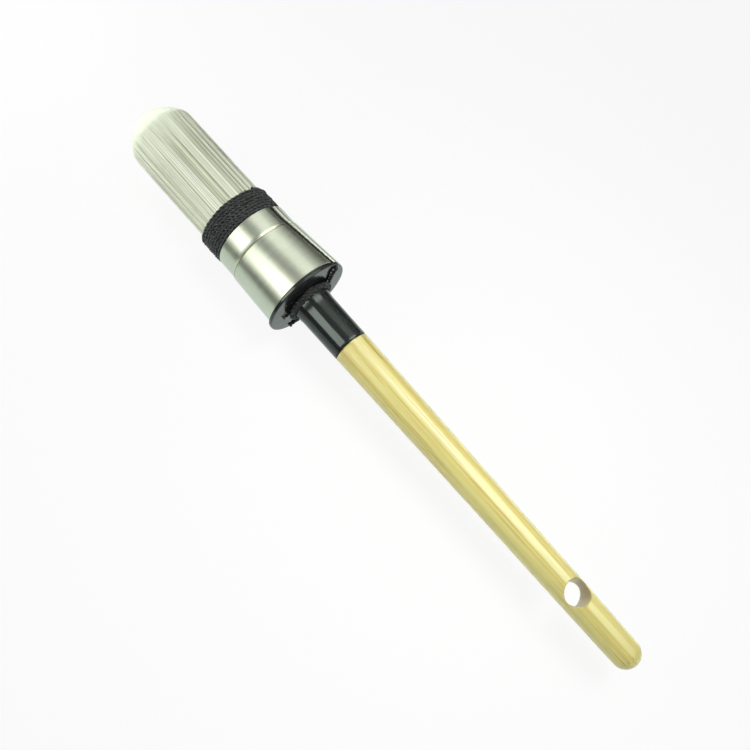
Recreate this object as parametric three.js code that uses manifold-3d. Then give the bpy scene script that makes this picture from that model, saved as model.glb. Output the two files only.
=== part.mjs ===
// Round string-bound paint brush, as an assembly of separate pieces. Millimetres, +Z up.
// The brush lies on its side: +X runs from the filament tips to the end of the handle, and the
// hang hole stands upright. Stations are distances along the brush from the filament tips.
// Angles about the brush's axis are counted in degrees from straight up (+Z) towards +Y.

import * as THREE from 'three';
import { mergeVertices } from 'three/addons/utils/BufferGeometryUtils.js';
import Module from 'manifold-3d';

// Filament pack
const filamentFree = 48.0;       // filament tips to the cord band
const packRadius = 12.25;
const crownHeight = 10.4;        // the crown's edge lies this much below its middle
const crownPower = 1.6;          // how flat the crown's middle is
const crownCorner = 0.71;        // how sharply it turns down at its edge
const strandRings = 11;          // the modelled strands stand for many more filaments
const strandSpacing = 1.12;      // least distance between strands of one ring
const strandWidth = 0.76;
const centreRadius = 1.1;        // ring of the innermost strands
const strandTipShare = 0.6;      // a strand's width at its tip, as a share of its full width

// Setting resin and the plug that spreads the filament roots. The resin reaches down to the hub.
const resinCoat = 0.45;          // resin round the pack, inside the ferrule
const resinRecess = 0.4;         // ferrule's mouth to the top of the resin
const sliceThickness = 4.4;      // top layer of resin, which holds the modelled strands
const strandSink = 1.0;          // how deep a strand is fused into that layer
const plugRadius = 4.0;
const plugTaper = 0.5;           // how much thinner the plug is at its top

// Ferrule: one drawn steel sleeve with a shoulder and a pressed groove for the cord
const ferruleLength = 27.4;
const ferruleFlare = 0.8;        // how much further out its lower end is than its mouth
const shoulderDrop = 7.4;        // ferrule mouth to the shoulder
const shoulderRise = 0.3;
const shoulderLength = 0.7;
const ferruleSwell = 1.1;        // the sleeve stands proud beside the groove at its lower end
const sheetThickness = 0.5;
const grooveAngleTop = 35.5;     // the groove leans round the sleeve from its mouth...
const grooveAngleBottom = 45.5;  // ...to its lower end
const grooveNearTurn = 15.5;     // from the groove's floor round to its crease, in degrees...
const grooveFarTurn = 6.2;       // ...and to the top of its steeper side
const grooveDepth = 1.35;

// Moulded head: the hub inside the ferrule, the collar under it and the neck sleeve
const hubLength = 10.5;
const hubCap = 2.0;              // closed wall over the handle's tenon
const collarOverhang = 1.1;      // past the ferrule's lower end
const collarThickness = 1.2;
const collarEdge = 0.5;          // rounding of the rim
const rootRise = 0.1;            // the underside rises this much to the neck, below the lashing
const neckLength = 21.6;
const neckRootRadius = 6.55;
const neckEndRadius = 6.33;
const sleeveWall = 1.5;

// Handle
const handleLength = 129.6;      // visible wood
const handleEndRadius = 4.82;
const handleDome = 4.6;          // length of the rounded end
const tenonTip = 0.8;            // bevel on the tenon's end
const hangHoleRadius = 4.1;
const hangHoleToEnd = 27.1;      // hole centre to the end of the handle

// Cord: one length, wound round the filaments, laid down the groove and lashed round the neck
const bandTurns = 8;
const bandHeight = 9.6;
const cordThickness = 1.15;      // out from the surface that it lies on
const cordWidth = 0.64;          // along the band, so that neighbouring turns stay apart
const underRunTurn = 54.25;      // how far the cord swings round on the collar's underside
const lashingTurns = 2.95;
const lashingPitch = 1.08;
const crossGap = 0.5;            // under the cord where it climbs back over the lashing
const crossTurn = 128.0;         // how far round it has climbed when the tail starts
const crossBack = 2.4;           // how far it climbs back towards the collar
const tailLength = 2.23;         // from the lashing's outer layer to the cut end
const cordSides = 6;
const stepsPerTurn = 24;

// Clearance between pieces that are seated on each other
const seat = 0.3;

// Stations and radii that follow from the sizes
const bandTop = filamentFree;
const ferruleTop = bandTop + bandHeight;
const ferruleBottom = ferruleTop + ferruleLength;
const shoulderStart = ferruleTop + shoulderDrop;
const shoulderEnd = shoulderStart + shoulderLength;
const sliceTop = ferruleTop + resinRecess;
const sliceBottom = sliceTop + sliceThickness;
const settingTop = sliceBottom + seat;
const collarTop = ferruleBottom + seat;
const collarBottom = collarTop + collarThickness;
const hubTop = collarTop - hubLength;
const settingBottom = hubTop - seat;
const neckEnd = collarBottom + neckLength;
const handleStart = neckEnd + seat;
const handleEnd = handleStart + handleLength;
const boreRadius = neckRootRadius - sleeveWall;
const boreTop = hubTop + hubCap;
const tenonRadius = boreRadius - seat;
const tenonTop = boreTop + seat;
const hangHoleStation = handleEnd - hangHoleToEnd;
const ferruleTopRadius = packRadius + resinCoat + seat + sheetThickness;
const ferruleBottomRadius = ferruleTopRadius + ferruleFlare;
const collarRadius = ferruleBottomRadius + collarOverhang;
const halfThick = cordThickness / 2;
const halfWide = cordWidth / 2;
const notchFloor = ferruleBottomRadius + ferruleSwell - grooveDepth;
const lashingRadius = neckRootRadius + seat + halfThick;
const crossRadius = lashingRadius + cordThickness + crossGap;
const rootRadius = crossRadius + halfThick + seat;
const radians = THREE.MathUtils.degToRad;

const wasm = await Module();
wasm.setup();

// A closed three.js mesh as a solid that can be joined and cut.
function toSolid(geometry) {
  const plain = geometry.clone();
  plain.deleteAttribute('normal');
  plain.deleteAttribute('uv');
  const merged = mergeVertices(plain, 1e-4);
  return new wasm.Manifold(new wasm.Mesh({
    numProp: 3,
    vertProperties: Float32Array.from(merged.attributes.position.array),
    triVerts: Uint32Array.from(merged.index.array),
  }));
}

// A solid back as a three.js mesh.
function toGeometry(solid) {
  const mesh = solid.getMesh();
  return meshOf(Array.from(mesh.vertProperties), Array.from(mesh.triVerts));
}

function meshOf(positions, indices) {
  const geometry = new THREE.BufferGeometry();
  geometry.setAttribute('position', new THREE.Float32BufferAttribute(positions, 3));
  geometry.setIndex(indices);
  geometry.computeVertexNormals();
  return geometry;
}

// The point at a station, a distance from the brush's axis and an angle about it.
function at(station, radius, angle) {
  const turn = radians(angle);
  return new THREE.Vector3(station, radius * Math.sin(turn), radius * Math.cos(turn));
}

// A turned piece from its [radius, station] outline, about the brush's axis.
function turned(outline, segments) {
  const points = outline.map(([radius, station]) => new THREE.Vector2(radius, station));
  const geometry = new THREE.LatheGeometry(points, segments);
  geometry.rotateZ(-Math.PI / 2);
  return geometry;
}

// A quarter round from one angle to another about a centre, as [radius, station] points.
function arc(radius, station, size, from, to, steps) {
  return Array.from({ length: steps + 1 }, (_, i) => {
    const turn = radians(from + (to - from) * i / steps);
    return [radius + size * Math.cos(turn), station + size * Math.sin(turn)];
  });
}

// A closed sleeve between an outer and an inner surface, with one ring of points a station.
function sleeve(stations, angles, outer, inner) {
  const count = angles.length;
  const rings = [
    ...stations.map((x) => angles.map((a) => outer(x, a))),
    ...stations.slice().reverse().map((x) => angles.map((a) => inner(x, a))),
  ];
  const positions = rings.flat().flatMap((point) => point.toArray());
  const indices = [];
  rings.forEach((_, ring) => {
    const next = (ring + 1) % rings.length;
    for (let i = 0; i < count; i += 1) {
      const j = (i + 1) % count;
      const [a, b] = [ring * count + i, ring * count + j];
      const [c, d] = [next * count + i, next * count + j];
      indices.push(a, d, b, a, c, d);
    }
  });
  return meshOf(positions, indices);
}

// A closed block inside an outer surface, with one ring of points a station and flat ends.
function block(stations, angles, outer) {
  const count = angles.length;
  const rings = stations.map((x) => angles.map((a) => outer(x, a)));
  const ends = [stations[0], stations[stations.length - 1]].map((x) => at(x, 0, 0));
  const positions = [...rings.flat(), ...ends].flatMap((point) => point.toArray());
  const firstEnd = rings.length * count;
  const lastRing = (rings.length - 1) * count;
  const indices = [];
  for (let i = 0; i < count; i += 1) {
    const j = (i + 1) % count;
    for (let ring = 0; ring < rings.length - 1; ring += 1) {
      const [a, b] = [ring * count + i, ring * count + j];
      indices.push(a, b + count, b, a, a + count, b + count);
    }
    indices.push(firstEnd, i, j, firstEnd + 1, lastRing + j, lastRing + i);
  }
  return meshOf(positions, indices);
}

// Ferrule

function grooveAngle(station) {
  const share = (station - ferruleTop) / ferruleLength;
  return grooveAngleTop + (grooveAngleBottom - grooveAngleTop) * share;
}

// The sleeve's own cone, with its shoulder but without the groove.
function ferruleCone(station) {
  if (station <= shoulderStart) return ferruleTopRadius;
  const shoulderRadius = ferruleTopRadius + shoulderRise;
  if (station <= shoulderEnd) {
    return ferruleTopRadius + shoulderRise * (station - shoulderStart) / shoulderLength;
  }
  const share = (station - shoulderEnd) / (ferruleBottom - shoulderEnd);
  return shoulderRadius + (ferruleBottomRadius - shoulderRadius) * share;
}

// Outer radius at a station and an angle from the groove's floor. On the near side the groove
// falls evenly from a crease, on the far side it rises in a steep round.
function ferruleOuter(station, offset) {
  const cone = ferruleCone(station);
  const lower = Math.max(0, (station - shoulderEnd) / (ferruleBottom - shoulderEnd));
  const facing = (1 + Math.cos(radians(offset))) / 2;
  const swell = ferruleSwell * lower * facing * facing;
  const near = Math.max(0, 1 + offset / grooveNearTurn);
  const far = Math.cos(Math.min(1, offset / grooveFarTurn) * Math.PI / 2) ** 2;
  return cone + swell - grooveDepth * (offset < 0 ? near : far);
}

// Angles from the groove's floor: close together in the groove, wide apart elsewhere.
const nearSteps = 4;
const farSteps = 6;
const openSteps = 54;
const openTurn = 360 - grooveNearTurn - grooveFarTurn;
const ferruleOffsets = [
  ...Array.from({ length: nearSteps }, (_, i) => -grooveNearTurn * (1 - i / nearSteps)),
  ...Array.from({ length: farSteps }, (_, i) => grooveFarTurn * i / farSteps),
  ...Array.from({ length: openSteps }, (_, i) => grooveFarTurn + openTurn * i / openSteps),
].map((offset) => (offset > 180 ? offset - 360 : offset));

function makeFerrule() {
  const middle = (shoulderEnd + ferruleBottom) / 2;
  const stations = [ferruleTop, shoulderStart, shoulderEnd, middle, ferruleBottom];
  const wall = (inset) => (station, offset) => (
    at(station, ferruleOuter(station, offset) - inset, grooveAngle(station) + offset));
  return sleeve(stations, ferruleOffsets, wall(0), wall(sheetThickness));
}

// Setting resin, plug and filaments

// The room inside the ferrule at a station and an angle from the groove's floor.
function ferruleRoom(station, offset) {
  return ferruleOuter(station, offset) - sheetThickness - seat;
}

function makeSetting() {
  const stations = [settingTop, settingBottom];
  const outer = (station, offset) => (
    at(station, ferruleRoom(station, offset), grooveAngle(station) + offset));
  const inner = (station, offset) => (
    at(station, plugRadius + seat, grooveAngle(station) + offset));
  return sleeve(stations, ferruleOffsets, outer, inner);
}

function makePlug() {
  return turned([
    [0, settingTop], [plugRadius - plugTaper, settingTop],
    [plugRadius, settingBottom], [0, settingBottom],
  ], 24);
}

// How far out a strand may be rooted: the sleeve is dented where the groove starts.
function strandRootRadius(angle) {
  const station = sliceTop + strandSink;
  const offset = (angle - grooveAngle(station) + 540) % 360 - 180;
  return Math.min(packRadius, ferruleRoom(station, offset));
}

// One strand: a three-sided rod from inside the resin to its tip, a little thinner there.
function strand(radius, angle) {
  const reach = radius / packRadius;
  const root = at(sliceTop + strandSink, reach * strandRootRadius(angle), angle);
  const crown = Math.max(0, radius - centreRadius) / (packRadius - centreRadius);
  const drop = crownHeight * (1 - (1 - crown ** crownPower) ** crownCorner);
  const tip = at(drop, radius, angle);
  const size = strandWidth / Math.sqrt(3);
  const corners = [[root, size], [tip, size * strandTipShare]].flatMap(([centre, span]) => (
    [0, 120, 240].map((turn) => centre.clone().add(at(0, span, angle + turn)))));
  const sides = [0, 1, 2].flatMap((i) => {
    const j = (i + 1) % 3;
    return [i, j + 3, i + 3, i, j, j + 3];
  });
  return meshOf(corners.flatMap((p) => p.toArray()), [0, 2, 1, 3, 4, 5, ...sides]);
}

// Where the strands stand: rings round the axis, each with a whole number of strands a quarter.
function strandPlaces(quarter) {
  const outermost = packRadius - strandWidth / Math.sqrt(3);
  return Array.from({ length: strandRings }, (_, ring) => {
    const share = ring / (strandRings - 1);
    const radius = outermost + (centreRadius - outermost) * share;
    const perQuarter = Math.max(1, Math.floor(radius * Math.PI / 2 / strandSpacing));
    return Array.from({ length: perQuarter }, (_unused, i) => (
      [radius, 90 * (quarter + (i + 0.5) / perQuarter)]));
  }).flat();
}

// One quarter of the pack: its strands, fused to their quarter of the resin's top layer.
function makeFilaments(quarter) {
  const size = 2 * ferruleBottomRadius;
  const box = new THREE.BoxGeometry(size, size, size);
  const [y, z] = [[1, 1], [1, -1], [-1, -1], [-1, 1]][quarter];
  const middle = (size + seat) / 2;
  box.translate(sliceTop, y * middle, z * middle);
  const layer = toSolid(block([sliceTop, sliceBottom], ferruleOffsets, (station, offset) => (
    at(station, ferruleRoom(station, offset), grooveAngle(station) + offset))));
  const strands = strandPlaces(quarter).map(([radius, angle]) => toSolid(strand(radius, angle)));
  return toGeometry(wasm.Manifold.union([layer.intersect(toSolid(box)), ...strands]));
}

// Moulded head

// Hub, collar and neck in one, with the bore for the tenon and the notch for the cord.
function makeHead() {
  const middle = (hubTop + ferruleBottom) / 2;
  const stations = [hubTop, middle, ferruleBottom, collarBottom - collarEdge];
  const hub = block(stations, ferruleOffsets, (station, offset) => {
    const level = Math.min(station, ferruleBottom);
    return at(station, ferruleRoom(level, offset), grooveAngle(level) + offset);
  });
  const collar = turned([
    [0, collarTop], [collarRadius, collarTop],
    ...arc(collarRadius - collarEdge, collarBottom - collarEdge, collarEdge, 0, 90, 4),
    [rootRadius, collarBottom], [neckRootRadius, collarBottom + rootRise],
    [neckEndRadius, neckEnd], [0, neckEnd],
  ], 56);
  const bore = turned([
    [0, boreTop], [boreRadius, boreTop], [boreRadius, handleStart], [0, handleStart],
  ], 56);
  const notchWidth = cordWidth + 2 * seat;
  const notchHeight = 2 * (collarRadius - notchFloor);
  const notch = new THREE.BoxGeometry(4 * collarThickness, notchWidth, notchHeight);
  notch.translate(collarTop, 0, notchFloor + notchHeight / 2);
  notch.rotateX(-radians(grooveAngle(collarTop + collarThickness / 2)));
  const solid = toSolid(hub).add(toSolid(collar)).subtract(toSolid(bore));
  return toGeometry(solid.subtract(toSolid(notch)));
}

// Handle

function makeHandle() {
  const domeStart = handleEnd - handleDome;
  const dome = Array.from({ length: 7 }, (_, i) => {
    const turn = radians(90 * i / 6);
    return [handleEndRadius * Math.cos(turn), domeStart + handleDome * Math.sin(turn)];
  });
  dome[dome.length - 1][0] = 0;
  const body = turned([
    [0, tenonTop], [tenonRadius - tenonTip, tenonTop], [tenonRadius, tenonTop + tenonTip],
    [tenonRadius, handleStart], [neckEndRadius, handleStart], ...dome,
  ], 40);
  const drill = new THREE.CylinderGeometry(
    hangHoleRadius, hangHoleRadius, 4 * neckEndRadius, 32);
  drill.rotateX(Math.PI / 2);
  drill.translate(hangHoleStation, 0, 0);
  return toGeometry(toSolid(body).subtract(toSolid(drill)));
}

// Cord

// Each place on the cord's route is [station, radius, angle, lean]. The lean is how far the
// cord's thickness turns from pointing away from the axis towards pointing along it.
// Places chosen by hand are shares of a stretch: how far in, out, up or round the cord has got.

// The band round the filaments, then the turn into the groove's mouth.
function bandRoute() {
  const radius = packRadius + seat + halfThick;
  const pitch = (bandHeight - cordWidth - seat) / bandTurns;
  const steps = bandTurns * stepsPerTurn;
  const turns = Array.from({ length: steps - 1 }, (_, i) => (
    [bandTop + halfWide + pitch * i / stepsPerTurn, radius,
      grooveAngleTop + 360 * (i - steps) / stepsPerTurn, 0]));
  const last = ferruleTop - seat - halfWide;
  return [...turns,
    [last, radius, grooveAngleTop - 12, 0],
    [last + 0.1, radius, grooveAngleTop - 5, 0],
    [last + 0.5, radius, grooveAngleTop - 1, 0],
  ];
}

// Middle of the cord in the groove: it lies on the groove's floor.
function grooveRunRadius(station) {
  return ferruleOuter(Math.min(station, ferruleBottom), 0) + seat + halfThick;
}

// Down the groove and through the collar's notch.
function grooveRoute() {
  const drops = [0.4, 1.5, 5, 10, 15, 20, 25];
  return [...drops.map((drop) => ferruleTop + drop), collarTop].map((station) => (
    [station, grooveRunRadius(station), grooveAngle(station), 0]));
}

// Round the notch's lower edge, then inwards on the collar's underside as it swings round.
function underRoute() {
  const start = grooveAngle(collarBottom);
  const bend = seat + halfThick;
  const corner = [0, 22.5, 45, 67.5, 90].map((turn) => (
    [collarBottom + bend * Math.sin(radians(turn)), notchFloor + bend * Math.cos(radians(turn)),
      start, turn]));
  const placesInwards = [
    [0.12, 0.02, 90], [0.3, 0.06, 90], [0.48, 0.15, 90], [0.65, 0.28, 85],
    [0.79, 0.46, 65], [0.9, 0.66, 40], [0.97, 0.85, 15],
  ];
  return [...corner, ...placesInwards.map(([inwards, round, lean]) => (
    [collarBottom + bend, notchFloor + (lashingRadius - notchFloor) * inwards,
      start + underRunTurn * round, lean]))];
}

// Turns round the neck, then back over them at the far side to the short cut tail.
function lashingRoute() {
  const start = grooveAngle(collarBottom) + underRunTurn;
  const first = collarBottom + seat + halfThick;
  const steps = Math.round(lashingTurns * stepsPerTurn);
  const turns = Array.from({ length: steps + 1 }, (_, i) => (
    [first + lashingPitch * i / stepsPerTurn, lashingRadius, start + 360 * i / stepsPerTurn, 0]));
  const [lastStation, , lastAngle] = turns[turns.length - 1];
  const placesAcross = [
    [0.12, 0.2, 0], [0.24, 0.7, 0], [0.36, 1, 0.06], [0.48, 1, 0.22],
    [0.6, 1, 0.4], [0.72, 1, 0.6], [0.84, 1, 0.8], [0.94, 1, 0.94],
  ];
  const across = placesAcross.map(([round, up, back]) => (
    [lastStation - crossBack * back, lashingRadius + (crossRadius - lashingRadius) * up,
      lastAngle + crossTurn * round, 0]));
  const placesOut = [[0.05, 2], [0.25, 9], [0.6, 13], [1, 15]];
  const tail = placesOut.map(([out, round]) => (
    [lastStation - crossBack, crossRadius + tailLength * out, lastAngle + crossTurn + round, 0]));
  return [...turns, ...across, ...tail];
}

// One unbroken tube along the route, with its section turned by each place's lean.
function makeCord() {
  const route = [...bandRoute(), ...grooveRoute(), ...underRoute(), ...lashingRoute()];
  const centres = route.map(([station, radius, angle]) => at(station, radius, angle));
  const rings = route.map(([, , angle, lean], i) => {
    const before = centres[Math.max(0, i - 1)];
    const after = centres[Math.min(centres.length - 1, i + 1)];
    const along = after.clone().sub(before).normalize();
    const out = at(Math.sin(radians(lean)), Math.cos(radians(lean)), angle);
    out.addScaledVector(along, -out.dot(along)).normalize();
    const across = along.clone().cross(out);
    return Array.from({ length: cordSides }, (_, k) => {
      const turn = 2 * Math.PI * k / cordSides;
      return centres[i].clone()
        .addScaledVector(out, halfThick * Math.cos(turn))
        .addScaledVector(across, halfWide * Math.sin(turn) / Math.cos(Math.PI / cordSides));
    });
  });
  const positions = rings.flat().flatMap((point) => point.toArray());
  const indices = [];
  for (let i = 0; i < rings.length - 1; i += 1) {
    for (let k = 0; k < cordSides; k += 1) {
      const [a, b] = [i * cordSides + k, i * cordSides + (k + 1) % cordSides];
      indices.push(a, b, b + cordSides, a, b + cordSides, a + cordSides);
    }
  }
  const end = (rings.length - 1) * cordSides;
  for (let k = 1; k < cordSides - 1; k += 1) {
    indices.push(0, k + 1, k, end, end + k, end + k + 1);
  }
  reportGap(rings);
  return meshOf(positions, indices);
}

// Prints the cord's least gap to itself, between points that lie well apart along it.
function reportGap(rings) {
  const apart = Math.round(stepsPerTurn / 3);
  let least = Infinity;
  rings.forEach((ring, i) => {
    for (let j = i + apart; j < rings.length; j += 1) {
      ring.forEach((p) => rings[j].forEach((q) => { least = Math.min(least, p.distanceTo(q)); }));
    }
  });
  console.log(`cord, least gap to itself: ${least.toFixed(3)} mm`);
}

const material = (color, roughness, metalness = 0) => (
  new THREE.MeshStandardMaterial({ color, roughness, metalness }));
const wood = material(0xd9cf80, 0.4);
const blackPlastic = material(0x17181a, 0.15);
const steel = material(0xb9bdb0, 0.3, 1);
const resin = material(0xc9b26a, 0.4);
const plugWood = material(0xc7a877, 0.7);
const filament = material(0xdfe3c9, 0.45);
const blackCord = material(0x1b1c1d, 0.8);

const brush = new THREE.Group();
brush.position.set(-handleEnd / 2, 0, collarRadius);

function add(name, geometry, finish) {
  const mesh = new THREE.Mesh(geometry, finish.clone());
  mesh.name = name;
  brush.add(mesh);
}

add('handle', makeHandle(), wood);
add('head', makeHead(), blackPlastic);
add('ferrule', makeFerrule(), steel);
add('setting', makeSetting(), resin);
add('plug', makePlug(), plugWood);
add('cord', makeCord(), blackCord);
[0, 1, 2, 3].forEach((quarter) => {
  add(`filaments_${quarter + 1}`, makeFilaments(quarter), filament);
});

export default brush;
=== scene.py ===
import math

import bmesh
import bpy
import numpy as np
from mathutils import Matrix, Vector


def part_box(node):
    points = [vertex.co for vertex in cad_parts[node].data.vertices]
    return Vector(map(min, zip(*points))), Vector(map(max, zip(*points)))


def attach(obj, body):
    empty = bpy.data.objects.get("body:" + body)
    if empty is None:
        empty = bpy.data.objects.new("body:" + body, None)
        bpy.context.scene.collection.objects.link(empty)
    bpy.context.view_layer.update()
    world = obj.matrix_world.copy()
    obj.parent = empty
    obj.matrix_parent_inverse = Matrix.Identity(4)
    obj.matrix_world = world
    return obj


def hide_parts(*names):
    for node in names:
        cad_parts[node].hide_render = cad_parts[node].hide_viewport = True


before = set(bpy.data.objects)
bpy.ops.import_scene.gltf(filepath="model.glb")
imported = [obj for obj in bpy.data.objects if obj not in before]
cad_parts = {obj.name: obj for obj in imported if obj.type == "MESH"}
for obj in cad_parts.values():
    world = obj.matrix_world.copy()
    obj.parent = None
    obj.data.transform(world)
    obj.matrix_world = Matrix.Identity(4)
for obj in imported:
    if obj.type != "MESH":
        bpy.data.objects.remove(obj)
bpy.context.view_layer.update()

# Viewpoint. The brush lies on a pale floor with its filaments to the left, and the camera looks
# down on it from close by, so that the handle's end comes nearest. The brush's axis runs along X.
# A station is a distance along the brush from the filament tips, and an angle about its axis is
# counted in degrees from straight up (+Z) towards +Y.
MM = 0.001
SENSOR = 36.0
LENS = 38.1
CAMERA_DISTANCE = 255 * MM
PICTURE_TURN = 48.2
HANDLE_LEAN = 9.38
BRUSH_ROLL = 21.6
AIM_STATION = 120.5 * MM
AIM_ASIDE = 0.34 * MM

tips_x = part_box("filaments_1")[0].x
head_low, head_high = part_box("head")
axis_height = (head_low.z + head_high.z) / 2


def spots(station, radius, angle):
    """Points at stations, distances from the axis and angles about it, as an array."""
    station, radius, turn = np.broadcast_arrays(station, radius, np.radians(angle))
    return np.stack(
        (tips_x + station, radius * np.sin(turn), axis_height + radius * np.cos(turn)), -1)


along = Vector((1, 0, 0))
aside = Vector(spots(0, 1, 90 - BRUSH_ROLL) - spots(0, 0, 0))
near = Vector(spots(0, 1, -BRUSH_ROLL) - spots(0, 0, 0))
turn, lean = math.radians(PICTURE_TURN), math.radians(HANDLE_LEAN)
right = math.cos(turn) * math.cos(lean) * along + math.sin(turn) * aside
right -= math.sin(lean) * math.cos(turn) * near
down = math.sin(turn) * math.cos(lean) * along - math.cos(turn) * aside
down -= math.sin(lean) * math.sin(turn) * near
back = math.sin(lean) * along + math.cos(lean) * near

camera_data = bpy.data.cameras.new("camera")
camera_data.sensor_width = SENSOR
camera_data.lens = LENS
camera_data.clip_start = 0.01
camera_data.clip_end = 20.0
camera = bpy.data.objects.new("camera", camera_data)
bpy.context.scene.collection.objects.link(camera)
camera.matrix_world = Matrix.Translation(
    Vector(spots(AIM_STATION, 0, 0)) - AIM_ASIDE * aside + CAMERA_DISTANCE * back
) @ Matrix((right, -down, back)).transposed().to_4x4()
bpy.context.scene.camera = camera
bpy.context.scene.view_settings.view_transform = "Standard"

# Studio. A white floor that runs on to a white horizon, under a plain grey room. Lamps beyond
# the filament tips, beside them and over the handle give the colours. The long screens and the
# two dark cards are there only for the steel, the moulding and the varnish to mirror.
FLOOR_SIZE = 6.0
FLOOR_WHITE = 0.90
ROOM_GREY = (0.29, 0.305, 0.30, 1)
HORIZON_WHITE = (1, 1, 1, 1)
HORIZON_TOP = 8.0
ROOM_START = 14.0
LAMP_TINT = (0.96, 1.0, 0.94)
SCREEN_DISTANCE = 0.60
# Each screen's name, its angles about the brush, its stations in metres and its brightness.
SCREENS = (
    ("key_screen", (-72, -30), (-0.16, 0.01), 5.0),
    ("key_far", (-72, -30), (-0.48, -0.16), 1.0),
    ("key_edge", (-85, -71), (-0.48, -0.11), 0.8),
    ("fill_screen", (5, 41), (-0.48, 0.01), 0.88),
    ("fill_edge", (42, 57), (-0.48, 0.01), 0.30),
    ("shoulder_screen", (0, 62), (-0.95, -0.46), 4.0),
    ("handle_screen", (0, 46), (0.01, 0.36), 4.5),
)
CROWN_LAMP_SIDE = (-0.80, 0.60)
CROWN_LAMP_SIZE = 50 * MM
CROWN_LAMP_DISTANCE = 120 * MM
CROWN_LAMP_AIM = 5 * MM
FLOOR_GREY = (0.8, 0.8, 0.8, 1)
FLOOR_GLOW = (1, 1, 1, 1)
FLOOR_SHEEN = (0.90, 1.0, 0.95, 1)
CARD_GREY = (0.24, 0.25, 0.23, 1)
CARD_LIFT = 1 * MM
CARD_START = 70 * MM
CARD_END = 900 * MM
CARD_HEIGHT = 240 * MM
SIDE_CARD_START = 58 * MM
SIDE_CARD_HEIGHT = 300 * MM
SIDE_CARD_END = -30 * MM


def shader_tree(name):
    """A new material and its node tree, without nodes."""
    finish = bpy.data.materials.new(name)
    finish.use_nodes = True
    finish.node_tree.nodes.clear()
    return finish, finish.node_tree


def feed(tree, socket, value):
    """Gives an input socket its value, or links it to an output socket."""
    if isinstance(value, bpy.types.NodeSocket):
        tree.links.new(value, socket)
    else:
        socket.default_value = value


def node(tree, kind, **sockets):
    """A node of a tree, with values or links for its input sockets."""
    made = tree.nodes.new("ShaderNode" + kind)
    for name, value in sockets.items():
        feed(tree, made.inputs[name.replace("_", " ")], value)
    return made


def joined(tree, operation, first, second=0):
    """A number worked out from one or two others."""
    made = node(tree, "Math")
    made.operation = operation
    feed(tree, made.inputs[0], first)
    feed(tree, made.inputs[1], second)
    return made.outputs[0]


def blended(tree, share, first, second, kind="MIX"):
    """A colour mixed from two others."""
    mix = node(tree, "Mix")
    mix.data_type = "RGBA"
    mix.blend_type = kind
    # Its sockets for colours are the ones at places 6 and 7, and its third output.
    for place_in_node, value in ((0, share), (6, first), (7, second)):
        feed(tree, mix.inputs[place_in_node], value)
    return mix.outputs[2]


def progress(tree, value, start, end):
    """How far a number is on its way from start to end, from 0 to 1."""
    made = node(tree, "MapRange", Value=value, From_Min=start, From_Max=end)
    return made.outputs["Result"]


def hang_lamp(name, middle, out, length, width, radiance, mirrored, grid=None):
    """A flat lamp at a place, turned to shine against a direction.

    It is only for gloss, or only for colours. A grid keeps its light within an angle."""
    lamp_data = bpy.data.lights.new(name, "AREA")
    lamp_data.shape = "RECTANGLE"
    lamp_data.size = length
    lamp_data.size_y = width
    lamp_data.energy = radiance * math.pi * length * width
    if grid:
        half = math.radians(grid) / 2
        lamp_data.spread = 2 * half
        lamp_data.energy *= 1 - half / math.tan(half)
    lamp_data.color = LAMP_TINT
    lamp = bpy.data.objects.new(name, lamp_data)
    bpy.context.scene.collection.objects.link(lamp)
    side = out.cross(along).normalized()
    lamp.matrix_world = Matrix.Translation(middle) @ Matrix(
        (side.cross(out), side, out)).transposed().to_4x4()
    lamp.visible_camera = False
    lamp.visible_glossy = mirrored
    lamp.visible_diffuse = not mirrored


def soft_box(name, angles, distance, stations, radiance, mirrored, grid=None):
    """A lamp facing the brush, between two angles about it and between two stations."""
    start, end = (math.radians(angle) for angle in angles)
    out = Vector(spots(0, 1, sum(angles) / 2) - spots(0, 0, 0))
    hang_lamp(
        name, Vector(spots(sum(stations) / 2, 0, 0)) + distance * out, out,
        stations[1] - stations[0], 2 * distance * math.tan((end - start) / 2),
        radiance, mirrored, grid)


for name, angles, stations, radiance in SCREENS:
    soft_box(name, angles, SCREEN_DISTANCE, stations, radiance, True)
soft_box("filament_lamp", (-88, -42), 0.25, (-0.23, -0.07), 5.3, False)
soft_box("handle_lamp", (5, 33), 0.40, (0.065, 0.265), 21.5, False, grid=44)
crown_side = Vector(spots(*CROWN_LAMP_SIDE, 0) - spots(0, 0, 0)).normalized()
hang_lamp(
    "crown_lamp", Vector(spots(CROWN_LAMP_AIM, 0, 0)) + CROWN_LAMP_DISTANCE * crown_side,
    crown_side, CROWN_LAMP_SIZE, CROWN_LAMP_SIZE, 7.5, False)

world = bpy.data.worlds.new("room")
bpy.context.scene.world = world
world.use_nodes = True
tree = world.node_tree
tree.nodes.clear()
sky = node(tree, "SeparateXYZ", Vector=node(tree, "TexCoord").outputs["Generated"])
height = progress(
    tree, sky.outputs["Z"],
    math.sin(math.radians(HORIZON_TOP)), math.sin(math.radians(ROOM_START)))
shade = node(tree, "Background", Color=blended(tree, height, HORIZON_WHITE, ROOM_GREY))
node(tree, "OutputWorld", Surface=shade.outputs[0])


def stage_sheet(name, line, finish, ends=(-FLOOR_SIZE / 2, FLOOR_SIZE / 2)):
    """A stage piece between two ends along the brush, on a line of (y, z) points."""
    corners = [(end, y, z) for y, z in line for end in ends]
    faces = [(2 * i, 2 * i + 1, 2 * i + 3, 2 * i + 2) for i in range(len(line) - 1)]
    mesh = bpy.data.meshes.new(name)
    mesh.from_pydata(corners, [], faces)
    mesh.materials.append(finish)
    piece = bpy.data.objects.new(name, mesh)
    bpy.context.scene.collection.objects.link(piece)
    return piece


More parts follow.
